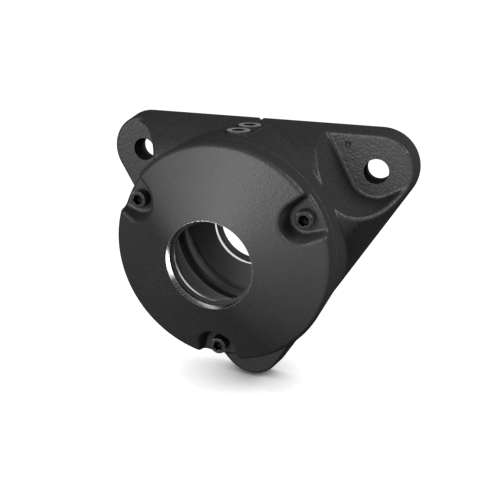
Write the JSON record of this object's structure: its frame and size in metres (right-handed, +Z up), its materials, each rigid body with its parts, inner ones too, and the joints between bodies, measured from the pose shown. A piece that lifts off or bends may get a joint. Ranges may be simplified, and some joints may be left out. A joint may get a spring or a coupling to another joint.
{
  "type": "flanged bearing housing",
  "caption": "Triangular flanged cast iron bearing housing with scooped bolt ears, a round barrel, a conical screwed cover and lip seals around the shaft opening.",
  "frame": {"origin": "on the shaft axis, in the plane of the mounting face", "axes": "+Y out of the mounting face along the shaft, -Y towards the front cover, +Z up towards the flange edge with the grease holes, +X to the right seen from the front"},
  "size_m": [0.1894, 0.081, 0.17],
  "materials": {
    "cast_iron": "dark grey paint over a fine cast texture, machined bores bare",
    "screw_steel": "blackened, satin",
    "seal_rubber": "smooth, matte black"
  },
  "bodies": {
    "root": {"housing_body": "cast_iron", "front_cover": "cast_iron", "cover_screw_right": "screw_steel", "cover_screw_left": "screw_steel", "cover_screw_bottom": "screw_steel", "front_shaft_seal": "seal_rubber", "rear_shaft_seal": "seal_rubber"}
  },
  "joints": []
}
